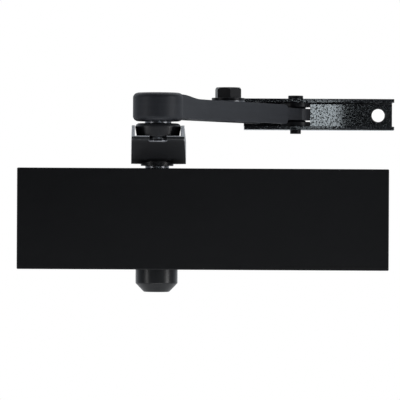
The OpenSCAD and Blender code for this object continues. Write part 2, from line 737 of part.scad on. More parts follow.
module elbow_pin() color("gray") at_elbow_axis() {
    translate([0, 0, elbow_web_z - elbow_head_h]) rounded_disc(elbow_head_r, elbow_head_h, 0.7);
    translate([0, 0, elbow_web_z - 0.5]) cylinder(r = elbow_pin_r, h = hub_z + hub_h - 0.4 - elbow_web_z + 0.5);
    translate([0, 0, hub_z + hub_h - recess + 0.1]) rounded_disc(elbow_top_r, recess - 0.5, 0.8);
}

// ---- Forearm ----

bar_drop_start = 5;    // the hub's top starts to fall here, along the bar
bar_drop_end = 31;     // and meets the bar's top here
end_r = 4;             // rounding of the bar's far end, seen from the side
drop_steps = 8;
taper_in = 0.8;        // the bar starts this far inside the hub's sides
taper_end = 45;        // and reaches its own width here

// Side view of the bar in (s, Z), s along the bar from the elbow
module bar_side() {
    drop = hub_z + hub_h - 1 - bar_top_z;
    polygon(concat(
        [[0, bar_z], [bar_l - end_r, bar_z], [bar_l, bar_z + end_r], [bar_l, bar_top_z - end_r],
         [bar_l - end_r, bar_top_z]],
        [for (k = [0:drop_steps]) let (t = k / drop_steps)
            [bar_drop_end + (bar_drop_start - bar_drop_end) * t, bar_top_z + drop * (1 - cos(180 * t)) / 2]],
        [[0, bar_top_z + drop]]
    ));
    for (z = [bar_z + end_r, bar_top_z - end_r]) translate([bar_l - end_r, z]) circle(end_r);
}

module bar_plan() polygon([
    [0, -hub_r + taper_in], [taper_end, -bar_w / 2], [bar_l + 1, -bar_w / 2],
    [bar_l + 1, bar_w / 2], [taper_end, bar_w / 2], [0, hub_r - taper_in]
]);

rod_tail = 11;         // length of the rod past the bolt
rod_start = bolt_s - bolt_r - rod_tail;
cavity_gap = 2;        // room behind the rod when it is pushed in
cavity_start = rod_start - rod_travel - cavity_gap;
slot_gap = 0.3;        // between the bolt and the sides of its slot
slot_over = 0.2;       // of the slot past the bolt's travel

module forearm() color([0.3, 0.31, 0.33]) at_elbow() difference() {
    union() {
        translate([0, 0, hub_z]) rounded_disc(hub_r, hub_h, hub_round);
        intersection() {
            translate([0, 0, bar_z]) linear_extrude(hub_h) bar_plan();
            translate([0, hub_r + 1, 0]) rotate([90, 0, 0]) linear_extrude(2 * hub_r + 2) bar_side();
        }
    }
    translate([0, 0, hub_z - 1]) cylinder(r = elbow_pin_r + run_gap, h = hub_h + 2);
    translate([0, 0, hub_z + hub_h - recess]) cylinder(r = elbow_top_r + recess_gap, h = recess + 1);
    // channel that the rod slides in, open below
    translate([cavity_start, -rod_w / 2 - side_gap, bar_z - 1])
        cube([CUT, rod_w + 2 * side_gap, rod_top_z + run_gap - bar_z + 1]);
    // slot for the clamp bolt
    for (s = [-1, 1]) translate([bolt_s + s * (rod_travel + slot_over), 0, bar_z])
        cylinder(r = bolt_r + slot_gap, h = bar_h + 1);
    translate([bolt_s - rod_travel - slot_over, -bolt_r - slot_gap, bar_z])
        cube([2 * (rod_travel + slot_over), 2 * (bolt_r + slot_gap), bar_h + 1]);
}

module forearm_rod() color([0.28, 0.29, 0.3]) at_elbow() difference() {
    union() {
        translate([rod_start, -rod_w / 2, rod_z]) cube([forearm_l - rod_start - 4, rod_w, rod_t]);
        translate([forearm_l, 0, rod_z]) cylinder(r = eye_r, h = rod_t);
    }
    translate([forearm_l, 0, rod_z - 1]) cylinder(r = shoe_pin_r + run_gap, h = rod_t + 2);
    translate([bolt_s, 0, rod_z - 1]) cylinder(r = bolt_r, h = rod_t + 2);
}

// ---- Clamp bolt ----

flat_washer_z = bar_top_z + run_gap;
split_washer_z = flat_washer_z + flat_washer_t;
bolt_head_z = split_washer_z + split_washer_t;
split_w = 1.2;         // width of the split in the upper washer
split_turn = 100;      // its direction from the bar, in degrees
head_turn = 38;        // turn of the tightened head from the bar, in degrees

module at_bolt() at_elbow() translate([bolt_s, 0, 0]) children();

module clamp_washer() color("silver") at_bolt() ring(flat_washer_r, bolt_r, flat_washer_z, split_washer_z);

module clamp_spring_washer() color("gray") at_bolt() difference() {
    ring(flat_washer_r, bolt_r, split_washer_z, bolt_head_z);
    rotate([0, 0, split_turn]) translate([0, -split_w / 2, split_washer_z - 1])
        cube([flat_washer_r + 1, split_w, split_washer_t + 2]);
}

module clamp_bolt() color("black") at_bolt() {
    translate([0, 0, rod_z - 1]) cylinder(r = bolt_r, h = bolt_head_z - rod_z + 1 + EPS);
    intersection() {
        translate([0, 0, bolt_head_z]) rotate([0, 0, head_turn]) cylinder(d = bolt_af / cos(30), h = bolt_head_h, $fn = 6);
        translate([0, 0, bolt_head_z - 1]) cylinder(r1 = bolt_af, r2 = bolt_af / 2 - 0.2, h = bolt_head_h + 1);
    }
}

// ---- Shoe ----

shoe_z = shoe_mid_z - shoe_h / 2;
pin_foot = 2.4;        // the pin stands out below the shoe by this
pin_head_h = 2.2;
pin_head_r = shoe_pin_r + 1.35;

module shoe() color("black") difference() {
    translate([shoe_left, -shoe_d, shoe_z]) cube([shoe_l, shoe_d, shoe_h]);
    translate([shoe_left - 1, -shoe_d - 1, shoe_z + shoe_t])
        cube([shoe_l + 2, shoe_d - shoe_t + 1, shoe_h - 2 * shoe_t]);
    translate([shoe_pin_x - window_left, -shoe_t - 1, shoe_z + shoe_t])
        cube([window_left + window_right, shoe_t + 2, shoe_h - 2 * shoe_t]);
    for (x = [shoe_left + shoe_hole_in, shoe_left + shoe_l - shoe_hole_in])
        translate([x, -shoe_t, shoe_mid_z]) rotate([-90, 0, 0]) {
            translate([0, 0, -1]) cylinder(r = shoe_hole_r, h = shoe_t + 2);
            // countersink in the face towards the room
            translate([0, 0, -EPS]) cylinder(r1 = shoe_sink_r + EPS, r2 = shoe_hole_r, h = shoe_sink_h + EPS);
        }
    at_shoe_pin() translate([0, 0, shoe_z - 1]) cylinder(r = shoe_pin_r, h = shoe_h + 2);
}

module shoe_pin() color("black") at_shoe_pin() {
    translate([0, 0, shoe_z - pin_foot]) cylinder(r = shoe_pin_r, h = pin_foot + shoe_h + pin_head_h / 2);
    translate([0, 0, shoe_z + shoe_h]) cylinder(r = pin_head_r, h = pin_head_h);
}

// Stepped discs that keep the eye in the middle of the shoe
module shoe_spacers() color("black") at_shoe_pin() translate([0, 0, shoe_mid_z]) for (s = [-1, 1]) at_end(s) {
    difference() {
        union() {
            translate([0, 0, shoe_h / 2 - shoe_t - spacer_flange]) cylinder(r = eye_r, h = spacer_flange);
            translate([0, 0, shoe_h / 2 - shoe_t - spacer_h]) cylinder(r = spacer_neck_r, h = spacer_h);
        }
        cylinder(r = shoe_pin_r, h = shoe_h);
    }
}

housing();
cover();
cover_screws();
left_plug();
right_plug();
plug_seals();
upper_bearing();
lower_bearing();
upper_seal();
lower_seal();
upper_gland();
lower_gland();
pinion_cap();
sweep_valve();
sweep_valve_seal();
latch_valve();
latch_valve_seal();
backcheck_valve();
backcheck_valve_seal();
power_screw();
power_screw_seal();
spring_seat();
spring();
piston();
piston_rings();
check_ball();
ball_retainer();
pinion();
spindle_collar();
main_arm();
arm_washer();
arm_screw();
elbow_boss();
elbow_washer();
elbow_pin();
forearm();
forearm_rod();
clamp_washer();
clamp_spring_washer();
clamp_bolt();
shoe();
shoe_pin();
shoe_spacers();
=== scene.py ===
# %% [markdown]
# # A surface-mounted door closer
#
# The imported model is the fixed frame: it gives every size and place. On top of it this notebook makes
# the surfaces that are seen, with rounded rims, pressed and cast edges, and finishes made of shader nodes.

# %% Load the frame
import json
import math

import bpy
import bmesh
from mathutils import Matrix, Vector


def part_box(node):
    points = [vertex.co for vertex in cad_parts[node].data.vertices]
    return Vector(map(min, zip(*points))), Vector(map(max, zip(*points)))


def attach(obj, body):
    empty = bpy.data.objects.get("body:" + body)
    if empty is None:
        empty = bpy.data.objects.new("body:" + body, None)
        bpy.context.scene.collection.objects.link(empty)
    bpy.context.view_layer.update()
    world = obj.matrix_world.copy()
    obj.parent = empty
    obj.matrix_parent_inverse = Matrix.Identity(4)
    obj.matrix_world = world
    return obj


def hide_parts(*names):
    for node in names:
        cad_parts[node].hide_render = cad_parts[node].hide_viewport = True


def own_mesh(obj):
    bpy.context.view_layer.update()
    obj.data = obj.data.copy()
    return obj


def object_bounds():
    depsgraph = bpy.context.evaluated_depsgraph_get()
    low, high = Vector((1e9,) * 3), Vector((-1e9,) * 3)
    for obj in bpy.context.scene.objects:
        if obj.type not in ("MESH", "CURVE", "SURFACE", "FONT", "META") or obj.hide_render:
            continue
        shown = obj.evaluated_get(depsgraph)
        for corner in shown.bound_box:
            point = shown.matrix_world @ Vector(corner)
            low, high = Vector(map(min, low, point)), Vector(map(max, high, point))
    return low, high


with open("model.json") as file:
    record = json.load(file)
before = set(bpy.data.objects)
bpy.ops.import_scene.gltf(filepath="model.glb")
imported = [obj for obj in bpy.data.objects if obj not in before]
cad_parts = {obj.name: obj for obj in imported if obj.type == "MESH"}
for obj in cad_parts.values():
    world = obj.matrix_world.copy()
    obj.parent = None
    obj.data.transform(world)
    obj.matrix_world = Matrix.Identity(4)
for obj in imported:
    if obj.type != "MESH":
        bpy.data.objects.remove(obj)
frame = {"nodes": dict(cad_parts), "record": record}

cad_low, cad_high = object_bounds()
nodes = frame["nodes"]
joints = {joint["name"]: joint for joint in frame["record"]["behaviour"]["joints"]}
MM = 0.001
print("frame size in mm:", [round(v / MM, 1) for v in cad_high - cad_low])


def box(node):
    """Lowest and highest corner of a frame node, as vectors."""
    low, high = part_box(node)
    return Vector(low), Vector(high)


def middle(node):
    """Centre of a frame node's box."""
    low, high = box(node)
    return (low + high) / 2


# %% [markdown]
# ## Camera
#
# The object is seen from straight in front with a long lens, so that the cover stays a true rectangle.
# The camera looks along +Y from 2 m, about halfway between the cover's middle and its upper edge.
# The vertical shift only frames the object a little off the lens axis.

# %% Camera
VIEW_DISTANCE = 2.0       # from the lens to the cover's front, in metres
SEEN_WIDTH = 0.2536       # width seen at the cover's front
SENSOR = 36.0             # sensor width, in millimetres
CAMERA_X, CAMERA_Z = -0.0019, 0.0153
CAMERA_ROLL = -0.3        # in degrees
LENS_SHIFT = -0.0125      # in sensor widths

cover_low, cover_high = box("cover")
camera_data = bpy.data.cameras.new("camera")
camera = bpy.data.objects.new("camera", camera_data)
bpy.context.scene.collection.objects.link(camera)
bpy.context.scene.camera = camera
camera.location = (CAMERA_X, cover_low.y - VIEW_DISTANCE, CAMERA_Z)
camera.rotation_euler = (math.radians(90), math.radians(CAMERA_ROLL), 0)
camera_data.sensor_width = SENSOR
camera_data.lens = SENSOR * VIEW_DISTANCE / SEEN_WIDTH
camera_data.shift_y = LENS_SHIFT
camera_data.clip_start, camera_data.clip_end = 0.05, 50
print("camera lens in mm:", round(camera_data.lens))

# %% [markdown]
# ## Node trees
#
# The room and the finishes are node trees. Writing them as Python expressions keeps them readable: `Wire`
# stands for a socket, and `+`, `-`, `*` on wires add Math nodes. Any other node comes from `Tree.node`.


# %% A wrapper for shader sockets
class Wire:
    """A value that runs through a node tree."""

    def __init__(self, tree, socket):
        self.tree, self.socket = tree, socket

    def math(self, operation, *values):
        return self.tree.node("Math", {"operation": operation}, *values)

    def __add__(self, other):
        return self.math("ADD", self, other)

    def __radd__(self, other):
        return self.math("ADD", other, self)

    def __sub__(self, other):
        return self.math("SUBTRACT", self, other)

    def __rsub__(self, other):
        return self.math("SUBTRACT", other, self)

    def __mul__(self, other):
        return self.math("MULTIPLY", self, other)

    def __rmul__(self, other):
        return self.math("MULTIPLY", other, self)

    def clamped(self):
        """The value, kept between 0 and 1."""
        return self.tree.node("Clamp", {}, self)

    def out(self, name):
        """Another output of the node that this wire leaves."""
        return Wire(self.tree, self.socket.node.outputs[name])


# %% A wrapper for node trees
class Tree:
    """The node tree of a material or of the world."""

    def __init__(self, node_tree):
        self.nodes, self.links = node_tree.nodes, node_tree.links

    def feed(self, socket, value):
        """Gives a socket a number, a colour or a wire."""
        if isinstance(value, Wire):
            self.links.new(value.socket, socket)
        elif isinstance(value, (tuple, list)) and socket.type == "RGBA" and len(value) == 3:
            socket.default_value = (*value, 1.0)
        else:
            socket.default_value = value

    def node(self, kind, settings, *values, **named):
        """Adds a node: its settings first, then the values or wires of its inputs."""
        made = self.nodes.new("ShaderNode" + kind)
        for key, value in settings.items():
            if key == "stops":
                self.set_stops(made.color_ramp, value)
            else:
                setattr(made, key, value)
        for index, value in enumerate(values):
            self.feed(made.inputs[index], value)
        for key, value in named.items():
            self.feed(made.inputs[key.replace("_", " ")], value)
        return Wire(self, next((o for o in made.outputs if o.enabled), None))

    def set_stops(self, ramp, stops):
        """Gives a ramp its stops, which are pairs of place and colour in rising order."""
        while len(ramp.elements) < len(stops):
            ramp.elements.new(1.0)
        for element, (place, colour) in zip(ramp.elements, stops):
            element.position = place
            element.color = (*colour, 1.0)


# %% [markdown]
# ## Studio
#
# Black parts are drawn by what they reflect. The camera sees plain white, but the parts see a white sweep
# behind and beside them and a dark room in front, so their faces stay black and their edges stay readable.
# Two tall soft boxes at either side of the camera draw the upright highlights on round parts.

# %% Floor and world
FLOOR_DROP = 0.27         # the floor lies this far below the lowest point, out of the camera's view
FLOOR_SIZE = 3
SKY_TINT = (0.93, 1.0, 1.1)

scene = bpy.context.scene
scene.view_settings.view_transform = "Standard"
scene.view_settings.look = "None"


def deselect():
    bpy.ops.object.select_all(action="DESELECT")


deselect()
bpy.ops.mesh.primitive_plane_add(size=FLOOR_SIZE, location=(0, 0, cad_low.z - FLOOR_DROP))
floor = bpy.context.object
floor.name = "floor"
bpy.ops.object.transform_apply()

world = bpy.data.worlds.new("studio")
scene.world = world
world.use_nodes = True
world.node_tree.nodes.clear()
sky = Tree(world.node_tree)
depth = sky.node("SeparateXYZ", {}, sky.node("TexCoord", {}).out("Generated")).out("Y")
depth = sky.node("MapRange", {}, Value=depth, From_Min=-1.0, From_Max=1.0).out("Result")
# stops from the camera's side (0) to the sweep behind the object (1)
greys = [(place, [grey * tint for tint in SKY_TINT])
         for place, grey in ((0.25, 0.06), (0.5, 0.16), (0.72, 0.42))]
stops = [(0.0, (0.035, 0.036, 0.04)), *greys, (1.0, (0.92, 0.96, 1.0))]
room = sky.node("Background", {}, sky.node("ValToRGB", {"stops": stops}, depth), 1.0)
seen = sky.node("Background", {}, (1.0, 1.0, 1.0), 1.0)
is_camera = sky.node("LightPath", {}).out("Is Camera Ray")
sky.node("OutputWorld", {}, sky.node("MixShader", {}, is_camera, room, seen))
print("floor height in mm:", round((cad_low.z - FLOOR_DROP) / MM))


# %% [markdown]
# ### Lamps
#
# Two tall boxes draw the upright highlights on the hub, the boss and the cap; the right one is stronger and
# wider. A small box straight in front is mirrored only by the web of the shoe. A low strip stands for the light
# that a table throws back on the cover's lower half.

# %% Lights
def soft_box(name, place, aim, width, height, watts):
    """An area light at `place` that faces `aim`."""
    data = bpy.data.lights.new(name, "AREA")
    data.shape = "RECTANGLE"
    data.size, data.size_y = width, height
    data.energy = watts
    lamp = bpy.data.objects.new(name, data)
    lamp.location = place
    lamp.rotation_euler = (Vector(aim) - Vector(place)).to_track_quat("-Z", "Y").to_euler()
    scene.collection.objects.link(lamp)
    return lamp


AIM = (0, -0.05, 0.02)
SHOE_X, SHOE_Z = 0.099, 0.083     # the small box faces the free end of the shoe
soft_box("left_box", (-1.33, -0.95, 0.1), AIM, 0.30, 1.1, 3.2)
soft_box("right_box", (1.45, -0.8, 0.1), AIM, 0.45, 1.1, 6.5)
soft_box("top_box", (0.1, 0.2, 1.6), AIM, 1.4, 1.0, 5)
soft_box("floor_box", (0, 0.9, 1.1), (0, 0.5, -0.32), 1.6, 1.2, 7)
soft_box("table_box", (0.05, -0.26, -0.17), (0.05, -0.045, -0.03), 0.4, 0.05, 0.16)
shoe_lamp = soft_box("shoe_box", (SHOE_X, -0.62, SHOE_Z), (SHOE_X, 0, SHOE_Z), 0.034, 0.018, 0.038)
shoe_lamp.data.color = (0.84, 0.94, 1.0)

# %% [markdown]
# ## Finishes
#
# Each finish is a small node tree around the Principled shader, and has a few tools of its own: a noise, a mix
# of two colours, a bump and a mask of the edges.


# %% A wrapper for materials
class Finish(Tree):
    """A material that is built step by step around one Principled shader."""

    # places of the colour sockets on a Mix node, whose names are shared with its number sockets
    FIRST_COLOUR, SECOND_COLOUR, MIXED_COLOUR = 6, 7, 2

    def __init__(self, name, roughness=0.5, metallic=0.0, **constants):
        self.material = bpy.data.materials.new(name)
        self.material.use_nodes = True
        super().__init__(self.material.node_tree)
        self.shader = next(n for n in self.nodes if n.type == "BSDF_PRINCIPLED")
        self.set("Roughness", roughness)
        self.set("Metallic", metallic)
        for socket, value in constants.items():
            self.set(socket.replace("_", " "), value)
        self.place = self.node("TexCoord", {}).out("Object")

    def set(self, socket, value):
        """Feeds one input of the shader with a number, a colour or a wire."""
        self.feed(self.shader.inputs[socket], value)

    def noise(self, scale, detail=3.0, rough=0.5, stretch=(1, 1, 1)):
        """Noise between 0 and 1; `scale` is in waves per metre, stretched along an axis by a small number."""
        where = self.node("Mapping", {}, self.place, Scale=stretch)
        return self.node("TexNoise", {"noise_dimensions": "3D"}, Vector=where, Scale=scale, Detail=detail,
                         Roughness=rough)

    def blend(self, mask, first, second):
        """Mixes two colours by a mask."""
        mix = self.node("Mix", {"data_type": "RGBA"}, mask).socket.node
        self.feed(mix.inputs[self.FIRST_COLOUR], first)
        self.feed(mix.inputs[self.SECOND_COLOUR], second)
        return Wire(self, mix.outputs[self.MIXED_COLOUR])

    def bump(self, height, distance, strength=1.0):
        """Dents the surface by `height` times `distance` metres."""
        normal = self.node("Bump", {}, Strength=strength, Distance=distance, Height=height)
        self.set("Normal", normal)

    def edge(self, radius):
        """A mask that is near 1 on sharp edges and 0 on flat faces, from a bevelled normal."""
        worn = self.node("Bevel", {"samples": 6}, Radius=radius)
        flat = self.node("NewGeometry", {}).out("Normal")
        same = self.node("VectorMath", {"operation": "DOT_PRODUCT"}, worn, flat).out("Value")
        return ((1.0 - same) * 5.0).clamped()


# %% [markdown]
# ### Black enamel on the cover
#
# The cover is stamped sheet with a satin black coat. Close up it is not flat: a very fine lengthwise grain
# from the rolled sheet shows through, and the coat varies slightly in gloss.

# %% Cover finish
def cover_black():
    finish = Finish("cover_black", roughness=0.42, Specular_IOR_Level=0.3)
    grain = finish.noise(900, detail=2.0, stretch=(0.05, 1, 1))
    cloud = finish.noise(14, detail=3.0)
    tone = (grain * 0.35 + cloud * 0.65).clamped()
    finish.set("Base Color", finish.blend(tone, (0.0018, 0.002, 0.0027), (0.004, 0.0044, 0.0056)))
    finish.set("Roughness", 0.38 + grain * 0.12 + cloud * 0.05)
    finish.bump(grain, 0.00002, 0.5)
    return finish.material


# %% [markdown]
# ### Moulded plastic on the cap
#
# The cap could be painted metal or plastic; the soft upright highlights of the real thing are those of satin
# plastic. A thin clear coat over a slightly rougher base gives such a highlight a bright core and a wide skirt.

# %% Cap finish
def satin_plastic():
    finish = Finish("cap_black", roughness=0.33, Specular_IOR_Level=0.38, Coat_Roughness=0.25)
    cloud = finish.noise(60, detail=4.0)
    fine = finish.noise(2600, detail=2.0)
    finish.set("Base Color", finish.blend(cloud, (0.005, 0.0055, 0.0065), (0.010, 0.011, 0.0125)))
    finish.set("Roughness", 0.28 + cloud * 0.12)
    finish.set("Coat Weight", 0.3)
    finish.bump(fine, 0.00001, 0.4)
    return finish.material


# %% [markdown]
# ### Black coat on the pressed arm
#
# Sheet steel that was pressed and then dipped has a wavy skin, called orange peel. A broad noise changes the
# gloss from place to place, and a finer noise makes the waves as a bump, which costs no geometry.

# %% Main arm finish
def pressed_black():
    finish = Finish("arm_black", roughness=0.35, Specular_IOR_Level=0.5)
    cloud = finish.noise(45, detail=5.0)
    peel = finish.noise(520, detail=2.0)
    tone = (cloud * 0.7 + peel * 0.3).clamped()
    finish.set("Base Color", finish.blend(tone, (0.012, 0.0125, 0.014), (0.026, 0.027, 0.031)))
    finish.set("Roughness", 0.3 + cloud * 0.16)
    finish.bump(peel, 0.00004, 0.6)
    return finish.material


# %% [markdown]
# ### Dark grey casting of the forearm
#
# A painted casting is greyer and rougher than enamel. Three noises are added: clouds, the grain of the mould,
# and faint lines around the hub where it was turned. They drive the colour, and the grain also makes the bump.

# %% Forearm finish
def cast_grey():
    finish = Finish("forearm_grey", roughness=0.5, Specular_IOR_Level=0.5)
    cloud = finish.noise(30, detail=6.0, rough=0.6)
    sand = finish.noise(1500, detail=3.0, rough=0.65)
    lines = finish.noise(420, detail=3.0, stretch=(0.06, 0.06, 1))
    tone = (cloud * 0.35 + sand * 0.25 + lines * 0.8 - 0.2).clamped()
    finish.set("Base Color", finish.blend(tone, (0.018, 0.0195, 0.024), (0.04, 0.0435, 0.053)))
    finish.set("Roughness", 0.42 + sand * 0.22)
    finish.set("Metallic", 0.25)
    finish.bump(sand * 0.6 + cloud * 0.4, 0.00006, 0.7)
    return finish.material


# %% [markdown]
# ### Glossy powder coat on the shoe
#
# Powder coat melts into small hills. It is glossy, so each hill mirrors the lamp by itself and the sheet
# sparkles where the lamp is reflected. A grain that switches between gloss and satin does just that.

# %% Shoe finish
def gloss_powder():
    finish = Finish("shoe_black", roughness=0.16, Specular_IOR_Level=0.5, Coat_Roughness=0.06)
    peel = finish.noise(1100, detail=2.0)
    cloud = finish.noise(40, detail=3.0)
    finish.set("Base Color", finish.blend(cloud, (0.006, 0.0065, 0.008), (0.011, 0.012, 0.015)))
    hills = finish.noise(950, detail=1.0)
    grain = ((hills - 0.45) * 4.5).clamped()
    finish.set("Roughness", 0.08 + cloud * 0.05 + grain * 0.2)
    finish.set("Coat Weight", (1.0 - grain) * 0.5)
    finish.bump(peel, 0.00015, 1.0)
    return finish.material


# %% [markdown]
# ### Black oxide on bolts and screws
#
# Oxide is a thin dark layer on steel. It wears at the edges first, so a mask from a bevelled normal lightens
# them a little. The same finish serves every screw, washer and pin that is black.

# %% Screw finish
def black_oxide():
    finish = Finish("bolt_black", roughness=0.36, metallic=0.3, Specular_IOR_Level=0.35)
    cloud = finish.noise(160, detail=5.0)
    wear = finish.edge(0.0004)
    oxide = finish.blend(cloud, (0.004, 0.0042, 0.0056), (0.012, 0.0128, 0.0155))
    finish.set("Base Color", finish.blend(wear * 0.35, oxide, (0.15, 0.155, 0.17)))
    finish.set("Roughness", 0.28 + cloud * 0.2)
    finish.bump(cloud, 0.00002, 0.5)
    return finish.material


# %% [markdown]
# ### Bare turned metals
#
# Washers, the pinion, the bushes and the spring differ in tone only, so one function makes them all.
# The marks of the lathe are a noise that is drawn out along Z, and they change colour, gloss and bump together.

# %% Turned metals
def turned_steel(name, dark, light, roughness, ring_scale=2400):
    """Bare steel with fine machining marks."""
    finish = Finish(name, roughness=roughness, metallic=1.0)
    marks = finish.noise(ring_scale, detail=2.0, stretch=(1, 1, 0.15))
    cloud = finish.noise(70, detail=4.0)
    tone = (marks * 0.4 + cloud * 0.6).clamped()
    finish.set("Base Color", finish.blend(tone, dark, light))
    finish.set("Roughness", roughness - 0.08 + tone * 0.16)
    finish.bump(marks, 0.00001, 0.5)
    return finish.material


# %% [markdown]
# ### Cast aluminium body
#
# The body is seen from behind and through the open ends. Casting skin is dull and sandy, with brighter clouds.

# %% Body finish
def cast_body():
    finish = Finish("body_aluminium", roughness=0.5, metallic=0.8)
    sand = finish.noise(900, detail=4.0, rough=0.6)
    cloud = finish.noise(22, detail=5.0)
    tone = (sand * 0.5 + cloud * 0.5).clamped()
    finish.set("Base Color", finish.blend(tone, (0.2, 0.2, 0.205), (0.4, 0.4, 0.41)))
    finish.set("Roughness", 0.4 + sand * 0.25)
    finish.bump(sand, 0.0001, 0.7)
    return finish.material


# %% [markdown]
# ### Rubber seals
#
# The sealing rings are hidden in their grooves, and are plain dull rubber with a little bloom.

# %% Seal finish
def soft_rubber():
    finish = Finish("seal_rubber", roughness=0.7)
    cloud = finish.noise(300, detail=3.0)
    finish.set("Base Color", finish.blend(cloud, (0.012, 0.012, 0.012), (0.03, 0.03, 0.03)))
    finish.set("Roughness", 0.6 + cloud * 0.25)
    finish.bump(cloud, 0.00003, 0.5)
    return finish.material


# %% The table of finishes
materials = {
    "cover_black": cover_black(),
    "cap_black": satin_plastic(),
    "arm_black": pressed_black(),
    "forearm_grey": cast_grey(),
    "shoe_black": gloss_powder(),
    "bolt_black": black_oxide(),
    "washer_steel": turned_steel("washer_steel", (0.16, 0.165, 0.18), (0.34, 0.35, 0.37), 0.34),
    "body_aluminium": cast_body(),
    "bright_steel": turned_steel("bright_steel", (0.42, 0.42, 0.43), (0.6, 0.6, 0.62), 0.28),
    "bronze": turned_steel("bronze", (0.42, 0.27, 0.12), (0.6, 0.42, 0.2), 0.32),
    "seal_rubber": soft_rubber(),
    # light bare steel for the main arm's cut end, partly a painted highlight along that end
    "cut_steel": turned_steel("cut_steel", (0.55, 0.57, 0.6), (0.85, 0.87, 0.9), 0.6),
    "spring_steel": turned_steel("spring_steel", (0.1, 0.11, 0.13), (0.2, 0.21, 0.24), 0.36),
}
print("materials:", ", ".join(materials))

# %% Give every frame node its finish
slot_of = {part["node"]: part["material_slot"] for part in frame["record"]["subparts"]}


def dress(piece, slot):
    """Puts one finish on a piece."""
    piece.data.materials.clear()
    piece.data.materials.append(materials[slot])


for name, node_object in nodes.items():
    dress(node_object, slot_of[name] if slot_of[name] in materials else "body_aluminium")
print("dressed", len(nodes), "nodes")

# %% [markdown]
# ## Working tools for the pieces
#
# A piece is modelled where it stands, in metres. When it is finished its place is put into its mesh,
# so that every object sits at the origin, as the frame's nodes do.


# %% Tools that start and finish a piece
def select_only(piece):
    deselect()
    piece.select_set(True)
    bpy.context.view_layer.objects.active = piece


def started(name):
    """Names the primitive that was just added, and puts its place into its mesh."""
    piece = bpy.context.object
    piece.name = name
    bpy.ops.object.transform_apply()
    return piece


def block(name, low, high):
    """A box between two corners."""
    low, high = Vector(low), Vector(high)
    deselect()
    bpy.ops.mesh.primitive_cube_add(size=1, location=(low + high) / 2, scale=high - low)
    return started(name)


def rod(name, radius, start, end, sides=64):
    """A cylinder between two points."""
    start, end = Vector(start), Vector(end)
    axis = end - start
    deselect()
    bpy.ops.mesh.primitive_cylinder_add(vertices=sides, radius=radius, depth=axis.length,
                                        location=(start + end) / 2,
                                        rotation=axis.to_track_quat("Z", "Y").to_euler())
    return started(name)


def modify(piece, kind, **settings):
    """Adds a modifier and applies it at once."""
    select_only(piece)
    made = piece.modifiers.new(kind.lower(), kind)
    for key, value in settings.items():
        setattr(made, key, value)
    bpy.ops.object.modifier_apply(modifier=made.name)


def cut_out(piece, *tools):
    """Takes the tools' shapes out of a piece."""
    for tool in tools:
        modify(piece, "BOOLEAN", object=tool, operation="DIFFERENCE", solver="EXACT")
        bpy.data.objects.remove(tool)


def soften(piece, width, segments=3, angle=35):
    """Rounds every edge that is sharper than the angle."""
    modify(piece, "BEVEL", width=width, segments=segments, limit_method="ANGLE",
           angle_limit=math.radians(angle), use_clamp_overlap=True, harden_normals=False)


def smooth(piece, angle=40):
    """Shades a piece smooth, but keeps the edges that are sharper than the angle."""
    select_only(piece)
    bpy.ops.object.shade_smooth_by_angle(angle=math.radians(angle))
    modify(piece, "WEIGHTED_NORMAL", keep_sharp=True)


def edit(piece, chosen, mode="FACE"):
    """Opens a piece in edit mode with only the faces or edges chosen that `chosen` accepts."""
    select_only(piece)
    bpy.ops.object.mode_set(mode="EDIT")
    bpy.ops.mesh.select_mode(type=mode)
    bpy.ops.mesh.select_all(action="DESELECT")
    mesh = bmesh.from_edit_mesh(piece.data)
    parts = mesh.faces if mode == "FACE" else mesh.edges
    for part in parts:
        if chosen(part):
            part.select_set(True)
    mesh.select_flush_mode()
    bmesh.update_edit_mesh(piece.data)


def close():
    """Leaves edit mode."""
    bpy.ops.object.mode_set(mode="OBJECT")


body_of_node = {name: body for body, names in frame["record"]["behaviour"]["bodies"].items() for name in names}


def fit(piece, finish_name, *replaced):
    """Gives a finished piece its finish and its body, and lets it stand for the frame nodes."""
    dress(piece, finish_name)
    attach(piece, body_of_node[replaced[0]])
    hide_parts(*replaced)
    low = Vector(min(v.co[i] for v in piece.data.vertices) for i in range(3))
    high = Vector(max(v.co[i] for v in piece.data.vertices) for i in range(3))
    print(piece.name, "in mm:", [round(s / MM, 1) for s in high - low], "faces:", len(piece.data.polygons))
    return piece


# %% [markdown]
# ### Pieces drawn out of a disc
#
# Bosses, washers and caps are turned or cast round. A disc is extruded along its axis again and again, and
# each new rim gets its own radius. This gives the whole outline with two operators, extrude and resize.


# %% A tool for turned pieces
def turned(name, centre, steps, sides=96):
    """A disc drawn out upwards through pairs of radius and height."""
    (radius, height), *rest = steps
    deselect()
    bpy.ops.mesh.primitive_circle_add(vertices=sides, radius=radius, fill_type="NGON",
                                      location=(centre.x, centre.y, height))
    piece = started(name)
    bpy.ops.object.mode_set(mode="EDIT")
    bpy.ops.mesh.select_all(action="SELECT")
    for next_radius, next_height in rest:
        bpy.ops.mesh.extrude_region_move(TRANSFORM_OT_translate={"value": (0, 0, next_height - height)})
        ratio = next_radius / radius
        bpy.ops.transform.resize(value=(ratio, ratio, 1), center_override=(centre.x, centre.y, next_height))
        radius, height = next_radius, next_height
    bpy.ops.mesh.select_all(action="SELECT")
    bpy.ops.mesh.normals_make_consistent(inside=False)
    bpy.ops.object.mode_set(mode="OBJECT")
    return piece


# %% [markdown]
# ### Pieces that keep the frame's shape
#
# The two arms are pressed and cast shapes that the frame already has exactly. A frame mesh is loose
# triangles, so its copy is merged, its flat faces are dissolved into one, and then its edges are rounded.


# %% A tool that rounds a copy of a frame node
MERGE = 0.00001           # corners closer than this become one
CURVE_ANGLE = 38          # facets that meet at less than this are one curved face


